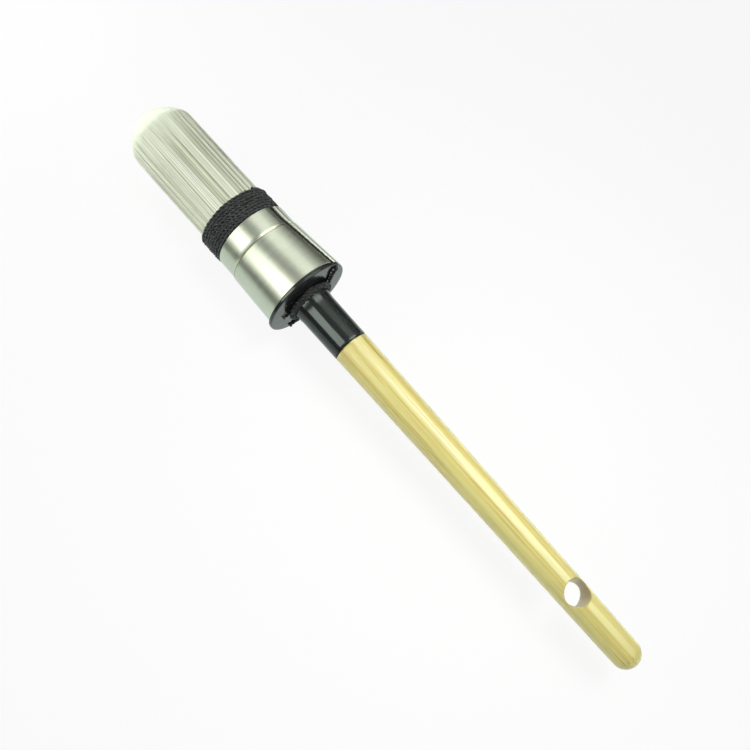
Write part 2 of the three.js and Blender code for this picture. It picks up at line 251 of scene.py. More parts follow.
floor_finish, tree = shader_tree("floor_white")
matt = node(tree, "BsdfDiffuse", Color=FLOOR_GREY)
rays = node(tree, "LightPath").outputs
sheen = blended(tree, rays["Is Glossy Ray"], FLOOR_GLOW, FLOOR_SHEEN)
glow = node(tree, "Emission", Color=sheen, Strength=1.0)
sight = joined(tree, "MAXIMUM", rays["Is Camera Ray"], rays["Is Glossy Ray"])
sight = joined(tree, "MAXIMUM", sight, rays["Is Transmission Ray"])
both = node(tree, "MixShader", Fac=joined(tree, "MULTIPLY", sight, FLOOR_WHITE))
tree.links.new(matt.outputs[0], both.inputs[1])
tree.links.new(glow.outputs[0], both.inputs[2])
node(tree, "OutputMaterial", Surface=both.outputs[0])
stage_sheet("floor", ((-FLOOR_SIZE / 2, 0), (FLOOR_SIZE / 2, 0)), floor_finish)

card_finish, tree = shader_tree("card_grey")
matt = node(tree, "BsdfDiffuse", Color=CARD_GREY)
node(tree, "OutputMaterial", Surface=matt.outputs[0])
cards = (
    stage_sheet("dark_card", (
        (-CARD_START, CARD_LIFT), (-CARD_END, CARD_LIFT), (-CARD_END, CARD_HEIGHT)),
        card_finish),
    stage_sheet("side_card", (
        (SIDE_CARD_START, CARD_LIFT), (CARD_END, CARD_LIFT), (CARD_END, SIDE_CARD_HEIGHT)),
        card_finish, (-FLOOR_SIZE / 2, SIDE_CARD_END)),
)
for card in cards:
    card.visible_camera = False
    card.visible_diffuse = False
    card.visible_shadow = False

# Plug. A plain softwood core, turned a little thinner at its top. It is pushed into the middle
# of the filament roots and spreads them into a ring. It can't be seen in the finished brush.
SOFTWOOD_PALE = (0.70, 0.55, 0.33, 1)
SOFTWOOD_DARK = (0.52, 0.37, 0.19, 1)


def place(tree, scale):
    """The place on the brush as a texture's coordinates, drawn out or packed close along each axis."""
    where = node(tree, "TexCoord")
    scaled = node(tree, "Mapping", Vector=where.outputs["Object"], Scale=scale)
    return scaled.outputs["Vector"]


def noise(tree, scale, detail, **sockets):
    """Soft random patches on the brush, from 0 to 1."""
    made = node(
        tree, "TexNoise", Vector=place(tree, scale), Scale=1.0, Detail=detail, **sockets)
    return made.outputs["Fac"]


def tones(tree, share, *stops):
    """The colour between tones that are given as (share, colour)."""
    ramp = node(tree, "ValToRGB", Fac=share)
    ramp.color_ramp.elements[0].position, ramp.color_ramp.elements[0].color = stops[0]
    ramp.color_ramp.elements[1].position, ramp.color_ramp.elements[1].color = stops[-1]
    for position, colour in stops[1:-1]:
        ramp.color_ramp.elements.new(position).color = colour
    return ramp.outputs["Color"]


def between(tree, share, low, high):
    """A number that goes from low to high with the share."""
    span = node(tree, "MapRange", Value=share, To_Min=low, To_Max=high)
    return span.outputs["Result"]


def relief(tree, height, strength, depth):
    """Fine ups and downs in the surface, too small for the mesh."""
    made = node(tree, "Bump", Height=height, Strength=strength, Distance=depth)
    return made.outputs["Normal"]


def surface(finish, tree, **sockets):
    """Ends a finish with its shader."""
    shader = node(tree, "BsdfPrincipled", **sockets)
    node(tree, "OutputMaterial", Surface=shader.outputs[0])
    return finish


def softwood():
    """Plain wood with long grain."""
    finish, tree = shader_tree("plain_softwood")
    grain = noise(tree, (60, 1400, 1400), 4.0)
    colour = tones(tree, grain, (0.35, SOFTWOOD_PALE), (0.70, SOFTWOOD_DARK))
    rough = between(tree, grain, 0.6, 0.8)
    bumps = relief(tree, grain, 0.3, 0.1 * MM)
    return surface(finish, tree, Base_Color=colour, Roughness=rough, Normal=bumps)


def refinish(name, finish):
    """Puts a better finish on a piece that comes from the CAD model."""
    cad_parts[name].data.materials.clear()
    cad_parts[name].data.materials.append(finish)


refinish("plug", softwood())

# Filaments. Some thousands of fine tapered synthetic bristles, pale and slightly clear, packed
# into a full round bundle and trimmed to a dome. Each one here stands for a few real ones.
FILAMENT_THICKNESS = 0.40 * MM
FILAMENT_SPACING = 0.34 * MM
FILAMENT_TIP = 0.75
TAPER_LENGTH = 10 * MM
PACK_RADIUS = 12.25 * MM
CROWN_HEIGHT = 10.4 * MM
CROWN_POWER = 1.6
CROWN_CORNER = 0.71
CROWN_MIDDLE = 1.1 * MM
TRIM_ERROR = 0.45 * MM
DRIFT = 0.22 * MM
DRIFT_INWARDS = 0.8
WAVER = 0.10
ROOT_DEPTH = 1.5 * MM
# Stations where the tips' paler colour begins and is full: partly their own tone, partly painted glow.
TIP_GLOW_START = 24 * MM
TIP_GLOW_END = 7 * MM
CORE_DROP = 0.55 * MM
CORE_INSET = 0.825 * MM
LEAST_RADIUS = 0.1 * MM
PACK_ASIDE = 0.2 * MM
FILAMENT_SEED = 11
FILAMENT_PALE = (0.90, 0.92, 0.78, 1)
FILAMENT_BODY = (0.73, 0.75, 0.59, 1)
FILAMENT_SHADE = (0.44, 0.43, 0.30, 1)
# The tips' colour: partly their own paler tone, partly painted glow for light passing through the thin
# tips.
FILAMENT_TIPS_AND_GLOW = (0.95, 0.98, 0.84, 1)

setting_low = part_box("setting")[0]
roots = setting_low.x - tips_x - ROOT_DEPTH


def loft(name, rings, endless=False, finish=None, sharp=35):
    """A piece through rings of points. Its ends are closed, or joined to each other."""
    count, around = rings.shape[:2]
    step = np.arange(count if endless else count - 1)[:, None]
    place_in_ring = np.arange(around)
    here = step * around + place_in_ring
    there = (step + 1) % count * around + place_in_ring
    faces = np.stack((here, there, np.roll(there, -1, 1), np.roll(here, -1, 1)), -1)
    faces = faces.reshape(-1, 4).tolist()
    if not endless:
        last = (count - 1) * around
        faces += [list(range(around)), list(range(last + around - 1, last - 1, -1))]
    mesh = bpy.data.meshes.new(name)
    mesh.from_pydata(rings.reshape(-1, 3).tolist(), [], faces)
    shape = bmesh.new()
    shape.from_mesh(mesh)
    bmesh.ops.recalc_face_normals(shape, faces=shape.faces)
    shape.to_mesh(mesh)
    shape.free()
    return finished(name, mesh, finish, sharp)


def finished(name, mesh, finish, sharp):
    """A mesh as a piece of the brush: smooth, with sharp edges kept, and with its finish."""
    mesh.shade_smooth()
    mesh.set_sharp_from_angle(angle=math.radians(sharp))
    if finish:
        mesh.materials.append(finish)
    piece = bpy.data.objects.new(name, mesh)
    bpy.context.scene.collection.objects.link(piece)
    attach(piece, "root")
    return piece


def filament_finish():
    """Pale clear bristle: each one has its own tone, and its thin tip is paler, partly its own tone
    and partly painted glow for the light that passes through it.
    """
    finish, tree = shader_tree("pale_filament")
    own = node(tree, "NewGeometry").outputs["Random Per Island"]
    streaks = noise(tree, (9, 2700, 2700), 2.0)
    mixed = node(tree, "Mix", Factor=0.45, A=own, B=streaks)
    body = tones(
        tree, mixed.outputs["Result"],
        (0.28, FILAMENT_SHADE), (0.48, FILAMENT_BODY), (0.68, FILAMENT_PALE))
    where = node(tree, "SeparateXYZ", Vector=place(tree, (1, 1, 1)))
    # Paler towards the tips: partly the tips' own tone, partly painted glow for light passing through
    # them.
    tip_tone_and_glow = progress(tree, where.outputs["X"], tips_x + TIP_GLOW_START, tips_x + TIP_GLOW_END)
    colour = blended(tree, tip_tone_and_glow, body, FILAMENT_TIPS_AND_GLOW)
    rough = between(tree, own, 0.30, 0.45)
    return surface(finish, tree, Base_Color=colour, Roughness=rough)


def crown(radius):
    """How far the crown lies below its middle, at a distance from the axis."""
    share = np.clip((radius - CROWN_MIDDLE) / (PACK_RADIUS - CROWN_MIDDLE), 0, 1)
    return CROWN_HEIGHT * (1 - (1 - share ** CROWN_POWER) ** CROWN_CORNER)


def filament_bundle(finish):
    """Three-sided bristles in close rings, each drifting a little on its way to its tip."""
    chance = np.random.default_rng(FILAMENT_SEED)
    outermost = PACK_RADIUS - FILAMENT_THICKNESS / 2
    radius, angle = [], []
    for ring in range(int(outermost / FILAMENT_SPACING)):
        size = outermost - ring * FILAMENT_SPACING
        number = max(3, int(2 * math.pi * size / FILAMENT_SPACING))
        radius += [size] * number
        angle += list(360 * (np.arange(number) + chance.uniform(0, 1)) / number)
    radius, angle = np.array(radius), np.array(angle)
    number = len(radius)
    tip = crown(radius) + chance.uniform(-0.2, 1, number) * TRIM_ERROR
    taper = tip + TAPER_LENGTH
    middle = (taper + roots) / 2
    station = np.stack((np.full(number, roots), middle, taper, (tip + taper) / 2, tip), 1)
    spread = np.array((0.3, 1, 1, 1, 1)) * np.linspace(0, 1, 5)
    around = chance.normal(0, 1, (number, 1)) * DRIFT * spread
    around += chance.normal(0, WAVER, (number, 5)) * DRIFT
    inwards = np.abs(chance.normal(0, 1, (number, 1))) * DRIFT * DRIFT_INWARDS * spread
    out = np.maximum(radius[:, None] - inwards, LEAST_RADIUS)
    bearing = angle[:, None] + np.degrees(around / out)
    width = FILAMENT_THICKNESS / 2 * np.array((1, 1, 1, (1 + FILAMENT_TIP) / 2, FILAMENT_TIP))
    centres = spots(station, out, bearing)
    centres -= PACK_ASIDE * np.array(aside) * np.minimum(1, spread * 3)[None, :, None]
    sides = []
    for turn in (60, 180, 300):
        sides.append(centres + spots(0, width, bearing + turn) - spots(0, 0, 0))
    corners = np.stack(sides, 2)
    own_start = np.arange(number)[:, None] * 15
    first = own_start[:, None] + np.arange(4)[None, :, None] * 3
    side = np.arange(3)
    faces = np.stack((
        first + side, first + side + 3, first + (side + 1) % 3 + 3, first + (side + 1) % 3), -1)
    tip_faces = own_start + np.array((12, 13, 14))
    mesh = bpy.data.meshes.new("filaments")
    mesh.from_pydata(
        corners.reshape(-1, 3).tolist(), [], faces.reshape(-1, 4).tolist() + tip_faces.tolist())
    return finished("filaments", mesh, finish, 35)


def filament_core(finish):
    """The pack's dense inside, just below the tips, so that no light falls through between."""
    radius = np.linspace(LEAST_RADIUS, PACK_RADIUS - CORE_INSET, 30)
    station = crown(radius) + CORE_DROP
    radius, station = np.append(radius, radius[-1]), np.append(station, roots)
    station, angle = np.meshgrid(station, np.arange(0, 360, 5), indexing="ij")
    return loft("filament_core", spots(station, radius[:, None], angle), finish=finish)


bristle = filament_finish()
for pack in (filament_bundle(bristle), filament_core(bristle)):
    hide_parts("filaments_1", "filaments_2", "filaments_3", "filaments_4")

# Setting. Amber resin that is poured round the filament roots inside the ferrule and sets hard.
# Its top layer holds the filaments, and it can't be seen in the finished brush either.
RESIN_LIGHT = (0.62, 0.46, 0.18, 1)
RESIN_DARK = (0.40, 0.26, 0.08, 1)
LAYER_DROP = 0.4 * MM
SHEET = 0.5 * MM
SEAT = 0.3 * MM
GROOVE_TOP = 35.5
GROOVE_BOTTOM = 45.5
# Angles from the groove's floor on its near side, with shares of the groove's depth.
GROOVE_NEAR = (
    (-15.5, 0), (-7.4, 0.14), (-6.5, 0.40), (-3.4, 0.54), (-2.6, 0.85), (0, 1))
GROOVE_FAR_TURN = 6.2
GROOVE_DEPTH = 1.35 * MM
MOUTH_RADIUS = 13.5 * MM
SHOULDER_DROP = 6.4 * MM
SHOULDER_RISE = 0.3 * MM
SHOULDER_LENGTH = 1.7 * MM
FLARE = 0.8 * MM
SWELL = 1.1 * MM

ferrule_low, ferrule_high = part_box("ferrule")
ferrule_top = ferrule_low.x - tips_x
ferrule_bottom = ferrule_high.x - tips_x


def groove_angle(station):
    """The angle of the groove's floor at a station. The groove leans a little."""
    share = (station - ferrule_top) / (ferrule_bottom - ferrule_top)
    return GROOVE_TOP + (GROOVE_BOTTOM - GROOVE_TOP) * share


def sleeve_radius(station, offset):
    """The ferrule's outer radius at stations and at angles from its groove's floor.

    The groove falls in two steps on its near side and rises evenly on its far one."""
    shoulder_start = ferrule_top + SHOULDER_DROP
    shoulder_end = shoulder_start + SHOULDER_LENGTH
    rise = np.clip((station - shoulder_start) / SHOULDER_LENGTH, 0, 1)
    lower = np.clip((station - shoulder_end) / (ferrule_bottom - shoulder_end), 0, 1)
    cone = MOUTH_RADIUS + SHOULDER_RISE * rise * rise
    cone = cone + (FLARE - SHOULDER_RISE) * lower
    facing = (1 + np.cos(np.radians(offset))) / 2
    offset = (np.asarray(offset) + 180) % 360 - 180
    near_side = np.interp(offset, *np.array(GROOVE_NEAR).T)
    far_side = np.cos(np.clip(offset / GROOVE_FAR_TURN, 0, 1) * np.pi / 2) ** 2
    dent = GROOVE_DEPTH * np.where(offset < 0, near_side, far_side)
    return cone + SWELL * lower * facing * facing - dent


def round_offsets(fine, coarse):
    """Angles round the sleeve from the groove's floor, close together in the groove."""
    near_edge, far_edge = GROOVE_NEAR[0][0] - 4, GROOVE_FAR_TURN + 0.5
    inside = np.linspace(near_edge, far_edge, fine, endpoint=False)
    outside = np.linspace(far_edge, 360 + near_edge, coarse, endpoint=False)
    return np.concatenate((inside, outside))


def resin():
    """Cloudy amber resin."""
    finish, tree = shader_tree("set_resin")
    cloud = noise(tree, (400, 400, 400), 3.0)
    colour = tones(tree, cloud, (0.35, RESIN_DARK), (0.65, RESIN_LIGHT))
    rough = between(tree, cloud, 0.25, 0.45)
    bumps = relief(tree, cloud, 0.2, 0.1 * MM)
    return surface(finish, tree, Base_Color=colour, Roughness=rough, Normal=bumps)


set_resin = resin()
refinish("setting", set_resin)
layer_top = ferrule_top + LAYER_DROP
layer_bottom = setting_low.x - tips_x - SEAT
station, offset = np.meshgrid(
    (layer_top, layer_bottom), round_offsets(24, 96), indexing="ij")
resin_layer = loft("resin_layer", spots(
    station, sleeve_radius(station, offset) - SHEET - SEAT, groove_angle(station) + offset,
), finish=set_resin)

# Ferrule. One sleeve drawn from thin stainless sheet, with a small shoulder below its mouth and
# a groove pressed down one side for the cord. It is polished round and round, and left bare.
STEEL = (0.565, 0.59, 0.485, 1)
STEEL_DULL = (0.51, 0.535, 0.44, 1)
# Colour and width of the painted shade along the crease at the shoulder's lower edge.
STEEL_CREASE_SHADE = (0.30, 0.26, 0.12, 1)
CREASE_SHADE_WIDTH = 0.30 * MM
SLEEVE_EDGE = 0.12 * MM

shoulder = ferrule_top + SHOULDER_DROP + SHOULDER_LENGTH * np.linspace(0, 1, 12)


def brushed_steel():
    """Fine brushing round and round in streaks and blotches, and painted shade along the shoulder's
    crease.
    """
    finish, tree = shader_tree("brushed_steel")
    rounds = noise(tree, (1900, 110, 110), 4.0)
    cloud = noise(tree, (260, 210, 210), 3.0)
    mixed = node(tree, "Mix", Factor=0.45, A=rounds, B=cloud)
    colour = tones(tree, mixed.outputs["Result"], (0.30, STEEL_DULL), (0.56, STEEL))
    where = node(tree, "SeparateXYZ", Vector=place(tree, (1, 1, 1)))
    # Painted shade: a narrow dark band along the crease at the shoulder's lower edge.
    from_crease = joined(
        tree, "ABSOLUTE",
        joined(tree, "SUBTRACT", where.outputs["X"], tips_x + float(shoulder[-1])))
    in_crease_shade = progress(tree, from_crease, 0.75 * CREASE_SHADE_WIDTH, 0.4 * CREASE_SHADE_WIDTH)
    crease_shaded = blended(tree, in_crease_shade, colour, STEEL_CREASE_SHADE)
    rough = between(tree, rounds, 0.25, 0.36)
    bumps = relief(tree, rounds, 0.03, 0.02 * MM)
    return surface(
        finish, tree, Base_Color=crease_shaded, Metallic=1.0, Roughness=rough, Normal=bumps)


stations = np.concatenate((
    ferrule_top + np.array((0, SLEEVE_EDGE, 0.4 * MM)),
    np.linspace(ferrule_top + 1 * MM, shoulder[0] - 0.3 * MM, 6),
    shoulder,
    np.linspace(shoulder[-1] + 0.3 * MM, ferrule_bottom - 0.4 * MM, 18),
    ferrule_bottom - np.array((SLEEVE_EDGE, 0)),
))
edge = np.zeros(len(stations))
edge[[0, -1]] = SLEEVE_EDGE
station, offset = np.meshgrid(stations, round_offsets(88, 200), indexing="ij")
wall = sleeve_radius(station, offset)
angle = groove_angle(station) + offset
ferrule = loft("ferrule_sleeve", np.concatenate((
    spots(station, wall - edge[:, None], angle),
    spots(station, wall - SHEET + edge[:, None], angle)[::-1],
)), endless=True, finish=brushed_steel(), sharp=14)
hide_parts("ferrule")

# Head. One glossy black moulding: a hub that the ferrule is pressed over, a thin round collar
# with a notch in its rim for the cord, and a neck sleeve that takes the handle's tenon.
BLACK = (0.014, 0.015, 0.016, 1)
BLACK_WORN = (0.022, 0.024, 0.024, 1)
MOULDING_GLOSS = (0.90, 1.0, 0.94, 1)
COLLAR_THICKNESS = 1.2 * MM
COLLAR_EDGE = 0.45 * MM
COLLAR_RINGS = (9.9 * MM, 12.5 * MM, 14.2 * MM)
HUB_CAP = 2.0 * MM
HUB_EDGE = 0.4 * MM
CAP_CENTRE = 0.4 * MM
NECK_WALL = 1.5 * MM
NECK_ROOT = 6.48 * MM
NECK_END = 6.31 * MM
NECK_EDGE = 0.25 * MM
BORE_ROUNDING = 0.3 * MM
ROOT_FLARE = 0.32 * MM
FLARE_LENGTH = 4.9 * MM
FLARE_FADE = 1.6 * MM
NOTCH_WIDTH = 1.36 * MM
NOTCH_FLOOR = 14.0 * MM

collar_radius = (head_high.z - head_low.z) / 2
hub_top = head_low.x - tips_x
neck_end = head_high.x - tips_x
collar_top = ferrule_bottom + SEAT
collar_bottom = collar_top + COLLAR_THICKNESS


def quarter_round(station, radius, size, start, end, count):
    """Places on an edge's rounding, as (station, radius) pairs."""
    turn = np.radians(np.linspace(start, end, count))
    return [(station + size * math.sin(t), radius + size * math.cos(t)) for t in turn]


def black_moulding():
    """Glossy black plastic with faint flow waves, a little worn."""
    finish, tree = shader_tree("black_moulding")
    flow = noise(tree, (70, 420, 420), 1.0)
    grit = noise(tree, (2500, 2500, 2500), 2.0)
    colour = tones(tree, grit, (0.45, BLACK), (0.75, BLACK_WORN))
    rough = between(tree, grit, 0.08, 0.20)
    bumps = relief(tree, flow, 0.5, 0.10 * MM)
    return surface(
        finish, tree, Base_Color=colour, Roughness=rough, Normal=bumps,
        Specular_Tint=MOULDING_GLOSS)


bore = NECK_ROOT - NECK_WALL
bore_top = hub_top + HUB_CAP
inside = [(bore_top, CAP_CENTRE), (bore_top, bore - BORE_ROUNDING)]
inside += quarter_round(
    bore_top + BORE_ROUNDING, bore - BORE_ROUNDING, BORE_ROUNDING, -90, 0, 4)[1:]
inside += [((bore_top + neck_end) / 2, bore), (neck_end - 0.2 * MM, bore)]
mouth = [(neck_end, bore + 0.2 * MM), (neck_end, NECK_END - NECK_EDGE)]
mouth += [(neck_end - 0.08 * MM, NECK_END - 0.08 * MM), (neck_end - NECK_EDGE, NECK_END)]
neck = []
for share in np.linspace(0.04, 1, 16):
    level = neck_end + (collar_bottom - neck_end) * share
    flare = ROOT_FLARE * max(0, min(1, (collar_bottom + FLARE_LENGTH - level) / FLARE_FADE))
    neck.append((level, NECK_END + (NECK_ROOT - NECK_END) * share + flare))
rim = [(collar_bottom, size) for size in COLLAR_RINGS]
rim += quarter_round(
    collar_bottom - COLLAR_EDGE, collar_radius - COLLAR_EDGE, COLLAR_EDGE, 90, 0, 6)
rim += [(collar_top + 0.15 * MM, collar_radius), (collar_top, collar_radius - 0.15 * MM)]
outline = np.array(inside + mouth + neck + rim)
notch_edge = math.degrees(NOTCH_WIDTH / 2 / collar_radius)
offset = np.sort(np.concatenate((
    np.linspace(-180, 180, 192, endpoint=False),
    np.linspace(-1.02, 1.02, 9) * notch_edge,
    (-0.98 * notch_edge, 0.98 * notch_edge),
)))
station = np.repeat(outline[:, :1], len(offset), 1)
radius = np.repeat(outline[:, 1:], len(offset), 1)
in_notch = np.abs(offset) < notch_edge
radius[:, in_notch] = np.minimum(radius[:, in_notch], NOTCH_FLOOR)
collar_rings = spots(station, radius, groove_angle(collar_top + COLLAR_THICKNESS / 2) + offset)
hub = np.array((collar_top, ferrule_bottom, hub_top + HUB_EDGE, hub_top))
level, turned = np.meshgrid(np.minimum(hub, ferrule_bottom), offset, indexing="ij")
fit = sleeve_radius(level, turned) - SHEET - SEAT
fit[-1] -= HUB_EDGE
hub_rings = spots(hub[:, None], fit, groove_angle(level) + turned)
cap_ring = spots(hub_top, CAP_CENTRE, groove_angle(hub_top) + offset)[None]
head = loft(
    "head_moulding", np.concatenate((collar_rings, hub_rings, cap_ring)),
    finish=black_moulding())
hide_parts("head")

# Handle. One length of pale wood, turned with a slight taper and a rounded end, drilled across
# for hanging, and dipped in clear varnish. Its tenon is glued into the head's neck.
# Millimetres along the handle from the end of the neck, with its radius there.
HANDLE_FACE = ((0, 6.10), (0.08, 6.22))
HANDLE_RADII = (
    (0.0, 6.30), (1.2, 6.27), (21.6, 6.02), (39.6, 5.83), (57.6, 5.59), (74.6, 5.38),
    (95.6, 5.22), (112.6, 5.00), (124.6, 4.84), (125.0, 4.82))
DOME = 4.6 * MM
DOME_POWER = 0.9
TENON_RADIUS = 4.65 * MM
TENON_EDGE = 0.8 * MM
HOLE_RADIUS = 4.1 * MM
HOLE_TO_END = 27.1 * MM
HOLE_ROUNDING = 0.55 * MM
WOOD_PALE = (0.80, 0.71, 0.26, 1)
WOOD_MIDDLE = (0.72, 0.59, 0.17, 1)
WOOD_DARK = (0.57, 0.40, 0.09, 1)
WOOD_STREAK = (0.60, 0.43, 0.12, 1)
WOOD_PORE = (0.36, 0.20, 0.04, 1)
WOOD_CUT = (0.52, 0.36, 0.06, 1)

handle_low, handle_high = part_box("handle")
handle_start = neck_end + SEAT
handle_end = handle_high.x - tips_x
tenon_top = handle_low.x - tips_x
hole_station = handle_end - HOLE_TO_END


def varnished_wood():
    """Yearly rings seen from the side as long streaks, a few fine brown pores, clear varnish."""
    finish, tree = shader_tree("varnished_wood")
    drift = noise(tree, (9, 60, 60), 2.0)
    rings = noise(tree, (7, 420, 420), 3.0, Distortion=0.4)
    fibres = noise(tree, (70, 5200, 5200), 2.0)
    pores = noise(tree, (16, 1500, 1500), 1.0)
    body = tones(
        tree, rings,
        (0.30, WOOD_DARK), (0.42, WOOD_MIDDLE), (0.58, WOOD_PALE), (0.80, WOOD_PALE))
    fine = progress(tree, fibres, 0.3, 0.7)
    shade = blended(tree, 0.10, body, fine, "MULTIPLY")
    rare = progress(tree, pores, 0.29, 0.22)
    lines = noise(tree, (5, 2300, 2300), 1.0)
    some = progress(tree, lines, 0.60, 0.72)
    streaked = blended(tree, some, shade, WOOD_STREAK)
    flecked = blended(tree, rare, streaked, WOOD_PORE)
    from_hole = node(tree, "VectorMath", Vector=place(tree, (1, 1, 0)))
    from_hole.operation = "DISTANCE"
    from_hole.inputs[1].default_value = (tips_x + hole_station, 0, 0)
    in_hole = progress(
        tree, from_hole.outputs["Value"],
        HOLE_RADIUS + 0.5 * HOLE_ROUNDING, HOLE_RADIUS + 0.1 * HOLE_ROUNDING)
    coloured = blended(tree, in_hole, flecked, WOOD_CUT)
    rough = between(tree, drift, 0.34, 0.50)
    bumps = relief(tree, rings, 0.25, 0.15 * MM)
    return surface(
        finish, tree, Base_Color=coloured, Roughness=rough,
        Normal=bumps, Coat_Weight=0.7, Coat_Roughness=0.22)


def flared_drill(station, surface_radius):
    """A drill that follows the handle's round surface and leaves the hole's rims rounded."""
    turn = np.radians(np.linspace(0, 360, 72, endpoint=False))
    widths = [HOLE_RADIUS + 2 * HOLE_ROUNDING]
    heights = [np.full(len(turn), 1.6 * surface_radius)]
    for step in np.radians(np.linspace(25, 90, 6)):
        wide = HOLE_RADIUS + HOLE_ROUNDING * (1 - math.sin(step))
        skin = np.sqrt(surface_radius ** 2 - (wide * np.sin(turn)) ** 2)
        widths.append(wide)
        heights.append(skin - HOLE_ROUNDING * (1 - math.cos(step)))
    rings = []
    for side, order in ((1, 1), (-1, -1)):
        for wide, height in list(zip(widths, heights))[::order]:
            rings.append(np.stack((
                tips_x + station + wide * np.cos(turn), wide * np.sin(turn),
                axis_height + side * height), -1))
    return loft("drill", np.array(rings))


def drill_out(piece, drill):
    """Cuts the drill's shape out of a piece."""
    cut = piece.modifiers.new("drilling", "BOOLEAN")
    cut.operation = "DIFFERENCE"
    cut.solver = "EXACT"
    cut.object = drill
    view = bpy.context.evaluated_depsgraph_get()
    drilled = bpy.data.meshes.new_from_object(piece.evaluated_get(view))
    piece.modifiers.clear()
    piece.data = drilled
    bpy.data.objects.remove(drill)
    drilled.shade_smooth()
    drilled.set_sharp_from_angle(angle=math.radians(18))


profile = [(tenon_top, TENON_RADIUS - TENON_EDGE), (tenon_top + TENON_EDGE, TENON_RADIUS)]
profile.append((handle_start, TENON_RADIUS))
profile += [(handle_start + mark * MM, size * MM) for mark, size in HANDLE_FACE]
marks, sizes = np.array(HANDLE_RADII).T * MM
for mark in np.linspace(0.3 * MM, handle_end - DOME - handle_start, 90):
    profile.append((handle_start + mark, np.interp(mark, marks, sizes)))
for turn in np.radians(np.linspace(0, 88, 18))[1:]:
    profile.append((
        handle_end - DOME + DOME * math.sin(turn),
        sizes[-1] * math.cos(turn) ** DOME_POWER))
profile.append((handle_end, LEAST_RADIUS))
profile = np.array(profile)
station, angle = np.meshgrid(profile[:, 0], np.arange(0, 360, 3.75), indexing="ij")
handle = loft(
    "handle_wood", spots(station, profile[:, 1:], angle), finish=varnished_wood())
hole_skin = np.interp(hole_station - handle_start, marks, sizes)
drill_out(handle, flared_drill(hole_station, hole_skin))
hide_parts("handle")

# Cord. One length of black two-ply cord. It is wound round the filaments at the ferrule's
# mouth, laid down the groove, bent over the collar's rim, led across the collar's underside and
# lashed round the neck, where its short end is cut square.
CORD_THICKNESS = 1.15 * MM
CORD_WIDTH = 0.64 * MM
BAND_HEIGHT = 9.6 * MM
BAND_TURNS = 8
LASHED_RADIUS = 6.55 * MM
LASHING_TURNS = 2.95
# Turns made, with how far the cord has come along the neck and up from it, in millimetres.
LASHING_CLIMB = (
    (0, 0, 0), (0.8, 0.05, 0), (1.2, 0.90, 0), (1.9, 1.05, 0), (2.3, 0.55, 0.80),
    (2.95, 0.50, 0.95))
UNDER_TURN = 54.25
CROSS_GAP = 0.5 * MM
CROSS_TURN = 128.0
CROSS_OUT = 0.29 * MM
TAIL = 2.23 * MM
STEPS_A_TURN = 24
CORD_BLACK = (0.006, 0.007, 0.008, 1)
CORD_GREY = (0.024, 0.028, 0.027, 1)
# The colour of the painted glints on the cord.
CORD_GLINT = (0.19, 0.22, 0.21, 1)
PLY_RADIUS = 0.40 * MM
PLY_OFFSET = 0.22 * MM
PLY_TWIST = 3.4 * MM
PLY_STEP = 0.22 * MM
SETTLE = 0.18 * MM
TAUT = 0.76
CUT_SPREAD = 0.22
CORNERS = 10
BAND_ASIDE = 0.30 * MM
TUCK = 0.5 * MM
TUCK_TURN = 60
SWAY = 0.07 * MM
SWAY_LENGTH = 3 * MM
TWIST_SWAY = 1.2
CORD_SEED = 5

half_thick = CORD_THICKNESS / 2
half_wide = CORD_WIDTH / 2
lashing_radius = LASHED_RADIUS + SEAT + half_thick
cross_radius = lashing_radius + CORD_THICKNESS + CROSS_GAP
notch_floor = MOUTH_RADIUS + FLARE + SWELL - GROOVE_DEPTH


def band_route():
    """The turns round the filaments, as (station, radius, angle, lean) like every stretch."""
    radius = PACK_RADIUS + SEAT + half_thick
    first = ferrule_top - BAND_HEIGHT + half_wide
    pitch = (BAND_HEIGHT - CORD_WIDTH - SEAT) / BAND_TURNS
    steps = BAND_TURNS * STEPS_A_TURN
    route = []
    for i in range(steps - 1):
        tucked = TUCK * max(0, 1 - 360 * i / STEPS_A_TURN / TUCK_TURN)
        route.append((
            first + pitch * i / STEPS_A_TURN, radius - tucked,
            GROOVE_TOP + 360 * (i - steps) / STEPS_A_TURN, 0))
    last = ferrule_top - SEAT - half_wide
    return route + [
        (last, radius, GROOVE_TOP - 12, 0),
        (last + 0.1 * MM, radius, GROOVE_TOP - 5, 0),
        (last + 0.5 * MM, radius, GROOVE_TOP - 1, 0),
    ]


def groove_route():
    """Down the groove and through the collar's notch."""
    route = []
    drops = np.array((0.4, 1.5, 5, 10, 15, 20, 25)) * MM
    for station in (*(ferrule_top + drops), collar_top):
        floor_radius = float(sleeve_radius(min(station, ferrule_bottom), 0))
        route.append((station, floor_radius + SEAT + half_thick, groove_angle(station), 0))
    return route


def under_route():
    """Round the notch's lower edge, then inwards on the underside while it swings round."""
    start = groove_angle(collar_bottom)
    bend = SEAT + half_thick
    route = []
    for turn in (0, 22.5, 45, 67.5, 90):
        route.append((
            collar_bottom + bend * math.sin(math.radians(turn)),
            notch_floor + bend * math.cos(math.radians(turn)), start, turn))
    # Shares of the way inwards and of the swing round, with the cord's lean in degrees.
    places = (
        (0.12, 0.02, 90), (0.3, 0.06, 90), (0.48, 0.15, 90), (0.65, 0.28, 85),
        (0.79, 0.46, 65), (0.9, 0.66, 40), (0.97, 0.85, 15))
    for inwards, swing, lean in places:
        route.append((
            collar_bottom + bend, notch_floor + (lashing_radius - notch_floor) * inwards,
            start + UNDER_TURN * swing, lean))
    return route


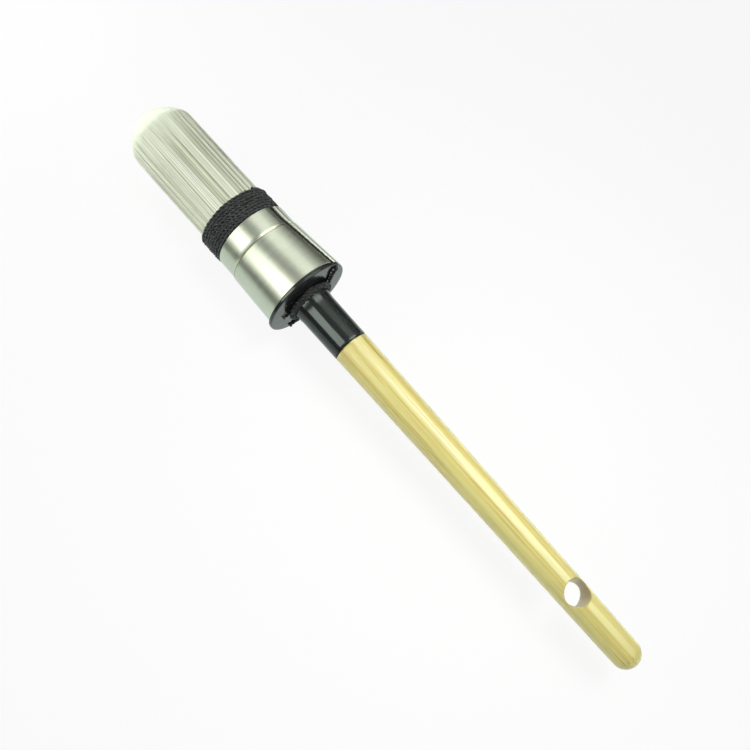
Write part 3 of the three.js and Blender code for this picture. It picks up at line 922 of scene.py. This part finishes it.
def lashing_route():
    """Turns round the neck, then back over them at the far side to the cut end."""
    start = groove_angle(collar_bottom) + UNDER_TURN
    first = collar_bottom + SEAT + half_thick
    route = []
    turns, along_neck, up_neck = np.array(LASHING_CLIMB).T
    for i in range(round(LASHING_TURNS * STEPS_A_TURN) + 1):
        turned = i / STEPS_A_TURN
        route.append((
            first + np.interp(turned, turns, along_neck) * MM,
            lashing_radius + np.interp(turned, turns, up_neck) * MM,
            start + 360 * turned, 0))
    last_station, last_radius, last_angle = route[-1][:3]
    # Shares of the swing round, of the climb over the turns and of the way out along the neck.
    places = (
        (0.12, 0.2, 0), (0.24, 0.7, 0), (0.36, 1, 0.06), (0.48, 1, 0.22),
        (0.6, 1, 0.4), (0.72, 1, 0.6), (0.84, 1, 0.8), (0.94, 1, 0.94))
    for swing, up, out in places:
        route.append((
            last_station + CROSS_OUT * out,
            last_radius + (cross_radius - last_radius) * up,
            last_angle + CROSS_TURN * swing, 0))
    for out, swing in ((0.05, 2), (0.25, 9), (0.6, 13), (1, 15)):
        route.append((
            last_station + CROSS_OUT, cross_radius + TAIL * out,
            last_angle + CROSS_TURN + swing, 0))
    return route


def smooth_line(places, step):
    """Even steps along a smooth line through places, and how far along each step is."""
    before = np.concatenate((2 * places[:1] - places[1:2], places[:-1]))
    after = np.concatenate((places[1:], 2 * places[-1:] - places[-2:-1]))
    slope = (after - before) / 2
    share = np.linspace(0, 1, 12, endpoint=False)[None, :, None]
    a, b = places[:-1, None], places[1:, None]
    sa, sb = slope[:-1, None], slope[1:, None]
    fine = (
        (2 * share ** 3 - 3 * share ** 2 + 1) * a + (share ** 3 - 2 * share ** 2 + share) * sa
        + (3 * share ** 2 - 2 * share ** 3) * b + (share ** 3 - share ** 2) * sb)
    fine = np.concatenate((fine.reshape(-1, places.shape[1]), places[-1:]))
    length = np.concatenate((
        [0], np.cumsum(np.linalg.norm(np.diff(fine[:, :3], axis=0), axis=1))))
    even = np.linspace(0, length[-1], round(length[-1] / step))
    return np.stack([np.interp(even, length, column) for column in fine.T], 1), even


def black_cord():
    """Twisted black yarn: fine slanting fibres, and painted glints in dashes where the plies and loose
    fibres would catch the light.
    """
    finish, tree = shader_tree("black_cord")
    strand = node(tree, "UVMap").outputs["UV"]
    slanted = node(
        tree, "Mapping", Vector=strand, Rotation=(0, 0, math.radians(35)),
        Scale=(9, 90, 1))
    fibres = node(
        tree, "TexNoise", Vector=slanted.outputs[0], Scale=0.12, Detail=3.0).outputs["Fac"]
    fuzz = noise(tree, (2600, 2600, 2600), 2.0)
    mixed = node(tree, "Mix", Factor=0.5, A=fibres, B=fuzz).outputs["Result"]
    colour = tones(tree, mixed, (0.46, CORD_BLACK), (0.64, CORD_GREY))
    # Painted glints: pale dashes along the strands, standing in for light caught by the plies and
    # loose fibres.
    dashed = node(tree, "Mapping", Vector=strand, Scale=(1.3, 7, 1))
    dashes = node(tree, "TexNoise", Vector=dashed.outputs[0], Scale=1.0, Detail=3.0)
    painted_glints = progress(tree, dashes.outputs["Fac"], 0.60, 0.72)
    glinted = blended(tree, painted_glints, colour, CORD_GLINT)
    rough = between(tree, fuzz, 0.55, 0.85)
    bumps = relief(tree, mixed, 0.7, 0.08 * MM)
    return surface(
        finish, tree, Base_Color=glinted, Roughness=rough,
        Normal=bumps, Sheen_Weight=0.15, Sheen_Roughness=0.5)


def cord_plies():
    """The cord's two plies, twisted round each other all along its route."""
    route = np.array(band_route() + groove_route() + under_route() + lashing_route())
    station, radius, angle, lean = route.T
    centres = spots(station, radius, angle)
    lean = np.radians(lean)
    outwards = spots(np.sin(lean), np.cos(lean), angle) - spots(0, 0, 0)
    line, length = smooth_line(np.concatenate((centres, outwards), 1), PLY_STEP)
    centres, out = line[:, :3], line[:, 3:]
    forward = np.gradient(centres, axis=0)
    forward /= np.linalg.norm(forward, axis=1, keepdims=True)
    out -= forward * np.sum(out * forward, 1, keepdims=True)
    out /= np.linalg.norm(out, axis=1, keepdims=True)
    across = np.cross(forward, out)
    here = centres[:, 0] - tips_x
    groove = (ferrule_top - 0.5 * MM, ferrule_top + 1 * MM, collar_top - 1 * MM, collar_bottom)
    slack = np.interp(here, groove, (1, 0, 0, 1))
    chance = np.random.default_rng(CORD_SEED)
    knots = np.arange(0, length[-1] + SWAY_LENGTH, SWAY_LENGTH)
    sway = [np.interp(length, knots, chance.normal(0, 1, len(knots))) for _ in range(3)]
    centres = centres + SWAY * (slack * sway[0])[:, None] * across
    centres += (SWAY * slack * sway[1] - SETTLE)[:, None] * out
    in_band = np.interp(here, (ferrule_top - 1.5 * MM, ferrule_top), (1, 0))
    centres -= BAND_ASIDE * in_band[:, None] * np.array(aside)
    thinned = (TAUT + (1 - TAUT) * slack)[:, None]
    thinned += np.interp(length[-1] - length, (1 * MM, 3 * MM), (CUT_SPREAD, 0))[:, None]
    apart = PLY_OFFSET * thinned ** 3
    corner = 2 * np.pi * np.arange(CORNERS) / CORNERS
    plies = []
    for start in (0, np.pi):
        twist = start + 2 * np.pi * length / PLY_TWIST + TWIST_SWAY * sway[2]
        middle = centres + apart * (
            np.cos(twist)[:, None] * out + np.sin(twist)[:, None] * across)
        ring = PLY_RADIUS * thinned[:, None] * (
            np.cos(corner)[None, :, None] * out[:, None]
            + np.sin(corner)[None, :, None] * across[:, None])
        plies.append(middle[:, None] + ring)
    return plies, length


def unroll(mesh, length, around):
    """Lays the ply's surface out flat, in millimetres along it and shares round it."""
    flat = mesh.uv_layers.new(name="strand")
    step = np.arange(len(length) - 1)[:, None]
    turn = np.arange(around)[None, :]
    u = np.stack((length[step], length[step + 1], length[step + 1], length[step]), -1)
    u = np.broadcast_to(u, (len(length) - 1, around, 4)) / MM
    v = np.stack((turn, turn, turn + 1, turn + 1), -1) / around
    v = np.broadcast_to(v, u.shape)
    values = np.zeros((len(mesh.loops), 2), np.float32)
    values[:u.size] = np.stack((u.ravel(), v.ravel()), -1)
    flat.data.foreach_set("uv", values.ravel())


cord_finish = black_cord()
plies, length = cord_plies()
for number, rings in enumerate(plies, 1):
    ply = loft(f"cord_ply_{number}", rings, finish=cord_finish)
    unroll(ply.data, length, rings.shape[1])
    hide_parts("cord")
